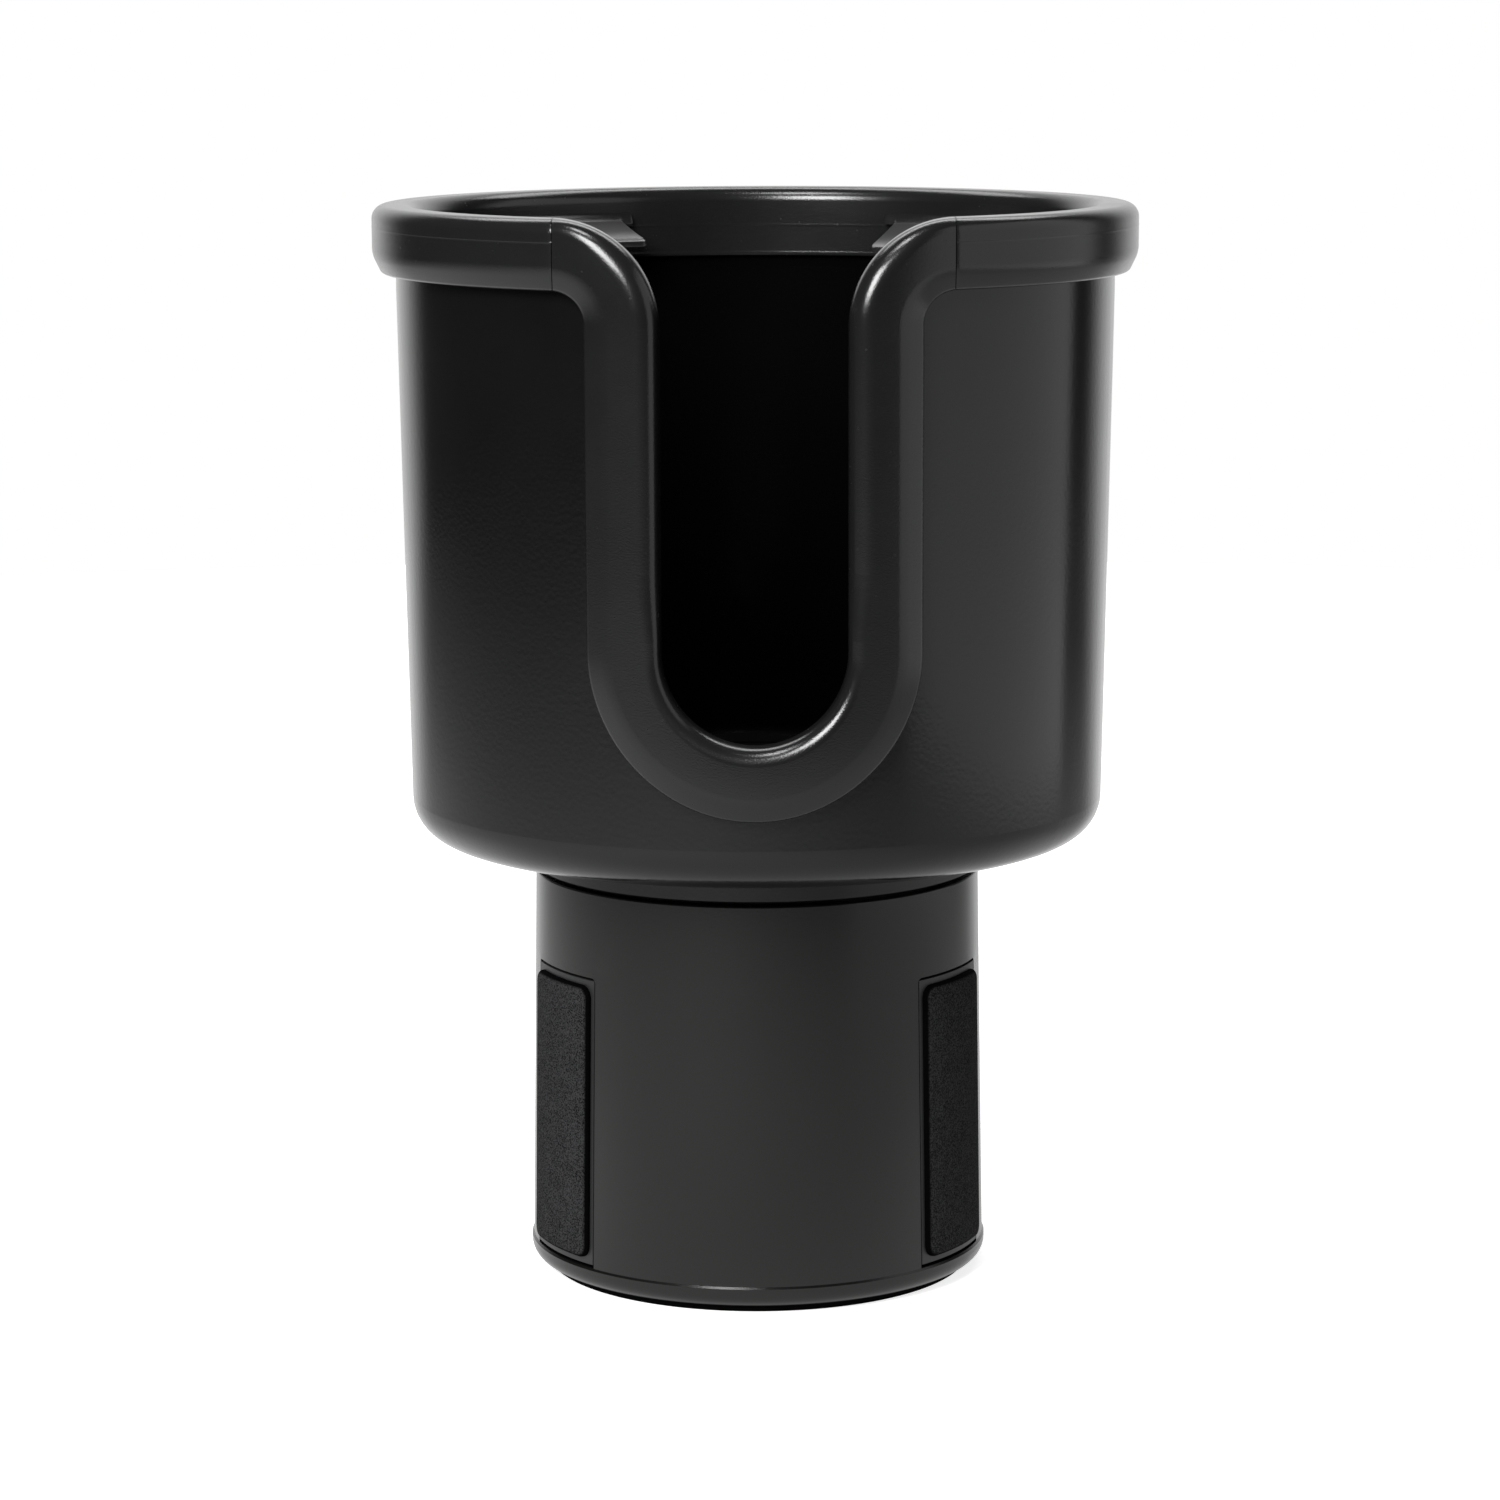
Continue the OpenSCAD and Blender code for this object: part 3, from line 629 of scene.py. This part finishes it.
# The grip fins, each with its slope in degrees and a small turn from its CAD angle. The sizes of
# a fin's parts are halves of its width, or distances from the wall along the flap.
FIN_ANGLES = (132, 48, 208, 332)
FIN_SLOPES = (27.8, 36, 27.8, 27.8)
FIN_TURNS = (-1.0, 0.3, 0, 0)
FIN_SPAN = 35.0
FIN_TIP_R = 44.0
FIN_ROOT_R = 52.0
FIN_ROOT_Z = CUP_TOP - 4.5
FIN_REACH = 9.04
FIN_HALF = math.radians(FIN_SPAN / 2) * FIN_ROOT_R
FIN_TIP_HALF = FIN_HALF + 0.2
FIN_TIP_ROUND = 1.7
FIN_BACK_HALF = FIN_HALF - 0.4
FIN_BACK = -0.3
FIN_STRIP_FRONT = 1.25
FIN_NECK_HALF = 13.7
FIN_NECK_START = 1.35
FIN_NECK_END = 2.2
FIN_NECK_ROUND = 0.3
FIN_CURVE = -0.2
FIN_ROOT_T = 1.4
FIN_TIP_T = 1.15
FIN_EDGE_R = 0.34
FIN_STRIP_END = 1.9
FIN_STRIP_FADE = 0.9
FIN_STRIP_RISE = 0.45
FIN_CELLS = (34, 26)


def slab(corners, thickness, edge_rounds, cells):
    """A flat slab with rounded corners and edges, cut into cells to be bent. Its top is at 0.

    edge_rounds gives the rounding of the top's edges and of the underside's, and cells the
    number of cells across and along.
    """
    bm = bmesh.new()
    top = rounded_face(bm, corners, lambda x, y: (x, y, 0))
    made = bmesh.ops.extrude_face_region(bm, geom=top)
    low = [g for g in made["geom"] if isinstance(g, bmesh.types.BMVert)]
    bmesh.ops.translate(bm, vec=(0, 0, -thickness), verts=low)
    for height, edge_round in zip((0, -thickness), edge_rounds):
        if edge_round:
            edges = [e for e in bm.edges if all(abs(v.co.z - height) < WELD for v in e.verts)]
            round_edges(bm, edges, edge_round, SMALL_SEGMENTS)
    xs = [x for x, _, _ in corners]
    ys = [y for _, y, _ in corners]
    for count, low_end, high_end, axis in (
        (cells[0], min(xs), max(xs), Vector((1, 0, 0))),
        (cells[1], min(ys), max(ys), Vector((0, 1, 0))),
    ):
        for i in range(1, count):
            where = axis * (low_end + (high_end - low_end) * i / count)
            geom = bm.verts[:] + bm.edges[:] + bm.faces[:]
            bmesh.ops.bisect_plane(bm, geom=geom, dist=WELD, plane_co=where, plane_no=axis)
    return bm


def bend_fin(bm, degrees):
    """Lays the flat fin on its cone. Along it, y runs from the wall to the free edge."""
    slope = math.radians(degrees)
    for vert in bm.verts:
        s, t, h = vert.co
        share = max(0.0, min(1.0, t / FIN_REACH))
        thick = FIN_ROOT_T + (FIN_TIP_T - FIN_ROOT_T) * share
        height = (h / FIN_ROOT_T + 0.5) * thick
        if h > -FIN_ROOT_T / 2:
            height += FIN_STRIP_RISE * ease((FIN_STRIP_END - t) / FIN_STRIP_FADE)
        r = FIN_ROOT_R - t * math.cos(slope) + (height * math.sin(slope) if t > 0 else 0)
        sag = FIN_CURVE * (FIN_ROOT_R - FIN_TIP_R) * share * (1 - share)
        z = FIN_ROOT_Z - t * math.sin(slope) + sag + height * math.cos(slope)
        angle = s / FIN_ROOT_R
        vert.co = (r * math.cos(angle), r * math.sin(angle), z)


def fin_piece(slope):
    """One fin along +X: the strip that it hangs from, a notch on each side, and the flap."""
    half = [
        (FIN_BACK_HALF, FIN_BACK, 0), (FIN_HALF, 0.1, 0.3), (FIN_HALF, FIN_STRIP_FRONT, 0.5),
        (FIN_NECK_HALF, FIN_NECK_START, FIN_NECK_ROUND),
        (FIN_NECK_HALF, FIN_NECK_END, FIN_NECK_ROUND),
        (FIN_TIP_HALF, FIN_REACH, FIN_TIP_ROUND),
    ]
    other_half = [(-s, t, rounding) for s, t, rounding in half[::-1]]
    flap = slab(half + other_half, FIN_ROOT_T, (FIN_EDGE_R, FIN_EDGE_R), FIN_CELLS)
    bend_fin(flap, slope)
    return flap


for number, (angle, turn, slope) in enumerate(zip(FIN_ANGLES, FIN_TURNS, FIN_SLOPES), start=1):
    fin = finish_piece(
        f"soft_grip_fin_{number}", fin_piece(slope), FIN_RUBBER, turn=angle + turn
    )
    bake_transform(fin)
    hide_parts(f"grip_fin_{number}")


# The grip pads.
JAW_ANGLES = (210, 330, 90)
PAD_LOW = 6.05
PAD_HIGH = 49.2
PAD_HALF = 8.5
PAD_PROUD = 1.0
PAD_CORNER_R = 2
PAD_EDGE_R = 0.8
PAD_CROWN = 0.12
PAD_CELLS = (16, 8)


def grip_pad_piece():
    """One foam pad along +X: a flat slab with soft edges, crowned a little and laid on its jaw."""
    corners = [
        (side * PAD_HALF, z, PAD_CORNER_R)
        for side, z in ((-1, PAD_LOW), (1, PAD_LOW), (1, PAD_HIGH), (-1, PAD_HIGH))
    ]
    bm = slab(corners, PAD_PROUD, (PAD_EDGE_R, 0), PAD_CELLS)
    middle = (PAD_LOW + PAD_HIGH) / 2
    for vert in bm.verts:
        s, z, h = vert.co
        across = abs(s) / PAD_HALF
        along = abs(z - middle) / (PAD_HIGH - middle)
        crown = PAD_CROWN * max(across ** 6, along ** 40) if h > -PAD_PROUD / 2 else 0
        r = shell_radius(z) + PAD_PROUD + h - crown
        angle = s / (shell_radius(z) + PAD_PROUD / 2)
        vert.co = (r * math.cos(angle), r * math.sin(angle), z)
    return bm


for number, angle in enumerate(JAW_ANGLES, start=1):
    pad = finish_piece(
        f"foam_grip_pad_{number}", grip_pad_piece(), GRIP_FOAM, turn=angle
    )
    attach(pad, f"jaw_{number}")
    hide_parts(f"grip_pad_{number}")


# The studio. The camera's turn is yaw, tilt and roll in degrees, fitted to the photo.
CAMERA_PLACE = (0.0031, -0.7229, 0.2023)
CAMERA_LENS = 111.34
CAMERA_SENSOR = 36.0
CAMERA_YAW = 0.33
CAMERA_TILT = 90 - 9.444
CAMERA_ROLL = -0.175
WHITE = (1, 1, 1, 1)
BACK_EDGE = (0.64, 0.9)
BACK_LIGHT = 0.97
DARK_LIGHT = 0.03
LEFT_LIGHT = 0.45
RIGHT_LIGHT = 0.12
FLOOR_R = 900
FLOOR_SIDES = 96
FLOOR_SEEN_NEAR = 0.8
FLOOR_SEEN_MORE = 0.2
# How brightly the floor glows as painted light near, beside and far from the object. FLOOR_TILT
# makes it weaker on the right, and FOOT_SHADE is its painted shadow under the foot.
FLOOR_NEAR_LIGHT = 0.62
FLOOR_BESIDE_LIGHT = 0.38
FLOOR_FAR_LIGHT = 0.07
FLOOR_TILT = (1.1, 0.62)
FOOT_SHADE = (0.0334, 0.035)


def add_camera():
    """The photo's camera."""
    data = bpy.data.cameras.new("camera")
    data.sensor_width = CAMERA_SENSOR
    data.lens = CAMERA_LENS
    camera = bpy.data.objects.new("camera", data)
    bpy.context.scene.collection.objects.link(camera)
    camera.location = CAMERA_PLACE
    yaw, tilt, roll = (
        Matrix.Rotation(math.radians(degrees), 4, axis)
        for degrees, axis in ((CAMERA_YAW, "Z"), (CAMERA_TILT, "X"), (CAMERA_ROLL, "Z"))
    )
    camera.rotation_euler = (yaw @ tilt @ roll).to_euler()
    bpy.context.scene.camera = camera


def softbox(name, place, target, size, power):
    """A rectangular lamp that faces its target."""
    data = bpy.data.lights.new(name, "AREA")
    data.shape = "RECTANGLE"
    data.size, data.size_y = size
    data.energy = power
    lamp = bpy.data.objects.new(name, data)
    bpy.context.scene.collection.objects.link(lamp)
    lamp.location = place
    facing = Vector(target) - lamp.location
    lamp.rotation_euler = facing.to_track_quat("-Z", "Y").to_euler()
    return lamp


def build_world():
    """White where the camera looks past the object.

    Reflections see a white wall behind the object and dark elsewhere, and the soft light is
    stronger from the left.
    """
    world = bpy.data.worlds.new("studio")
    world.use_nodes = True
    bpy.context.scene.world = world
    world.node_tree.nodes.clear()
    sky = Graph(world.node_tree)
    camera_ray, through_ray, glossy_ray = sky.node(
        "ShaderNodeLightPath",
        out=("Is Camera Ray", "Is Transmission Ray", "Is Glossy Ray"),
    )
    across, along, _ = sky.axes("Generated")
    glossy = sky.smooth_step(along, *BACK_EDGE) * BACK_LIGHT + DARK_LIGHT
    plain = sky.smooth_step(across, -1.0, 1.0, LEFT_LIGHT, RIGHT_LIGHT)
    seen = sky.node("ShaderNodeMath", {"operation": "MAXIMUM"}, {0: camera_ray, 1: through_ray})
    strength = seen + (1 - seen) * (glossy_ray * glossy + (1 - glossy_ray) * plain)
    background = sky.node("ShaderNodeBackground", None, {"Color": WHITE, "Strength": strength})
    sky.node("ShaderNodeOutputWorld", None, {"Surface": background}, out=())


def build_floor():
    """White to the camera, but for a faint shadow round the foot.

    The object sees the floor glow with painted light: white far behind, and a grey all round that
    is lighter close by, weaker on the right, and black right under the foot as painted shadow.
    """
    bm = bmesh.new()
    bmesh.ops.create_circle(
        bm, cap_ends=True, cap_tris=False, segments=FLOOR_SIDES, radius=FLOOR_R
    )
    floor = as_object("floor", bm)
    finish = Finish("white floor", roughness=0.9)
    camera_ray = finish.node("ShaderNodeLightPath", out="Is Camera Ray")
    distance = finish.node(
        "ShaderNodeVectorMath", {"operation": "LENGTH"}, {0: finish.place()}, out="Value"
    )
    across, along, _ = finish.axes()
    far = finish.smooth_step(distance, 0.10, 0.30)
    near = finish.smooth_step(distance, 0.2, 0.72, 1.0, 0.0)
    close = finish.smooth_step(distance, 0.1, 0.25, FLOOR_BESIDE_LIGHT, 0.0)
    beside = finish.smooth_step(along, -0.1, 0.05)
    # Painted shade: the floor's glow is weaker on the right.
    tilt = finish.smooth_step(across, -0.15, 0.25, *FLOOR_TILT)
    behind = finish.smooth_step(along / (distance + 0.001), *BACK_EDGE)
    # Painted shadow: the floor's glow goes black right under the foot.
    open_floor = finish.smooth_step(distance, *FOOT_SHADE)
    # Painted light: the glow that the object sees, lighter close by and beside it.
    under = near * (FLOOR_NEAR_LIGHT + close * beside) + (1 - near) * FLOOR_FAR_LIGHT
    lit = under * tilt * open_floor
    seen = FLOOR_SEEN_NEAR + far * FLOOR_SEEN_MORE
    glow = camera_ray * seen + (1 - camera_ray) * (behind + (1 - behind) * lit)
    # Pale to the camera and dark to all other rays, so that the floor's painted glow sets what the
    # object sees.
    finish.dress(finish.tint(camera_ray, (0.1, 0.1, 0.1), (0.79, 0.79, 0.79)))
    finish.shader.inputs["Specular IOR Level"].default_value = 0.2
    finish.shader.inputs["Emission Strength"].default_value = 1.0
    finish.tree.links.new(glow.socket, finish.shader.inputs["Emission Color"])
    floor.data.materials.append(finish.material)


add_camera()
card = softbox("right card", (0.42, -0.1, 0.275), (0, -0.1, 0.275), (0.58, 0.55), 0.72)
card.visible_diffuse = False
softbox("front softbox", (-0.27, -0.591, 0.505), (0, 0, 0.13), (0.31, 0.34), 8.4)
softbox("top softbox", (-0.135, -0.225, 0.801), (0, 0, 0.13), (0.2, 0.17), 1.8)
softbox("overhead softbox", (0, 0.48, 0.72), (0, 0.48, 0), (0.84, 0.32), 3.6)
build_world()
build_floor()

bpy.context.scene.view_settings.view_transform = "Standard"
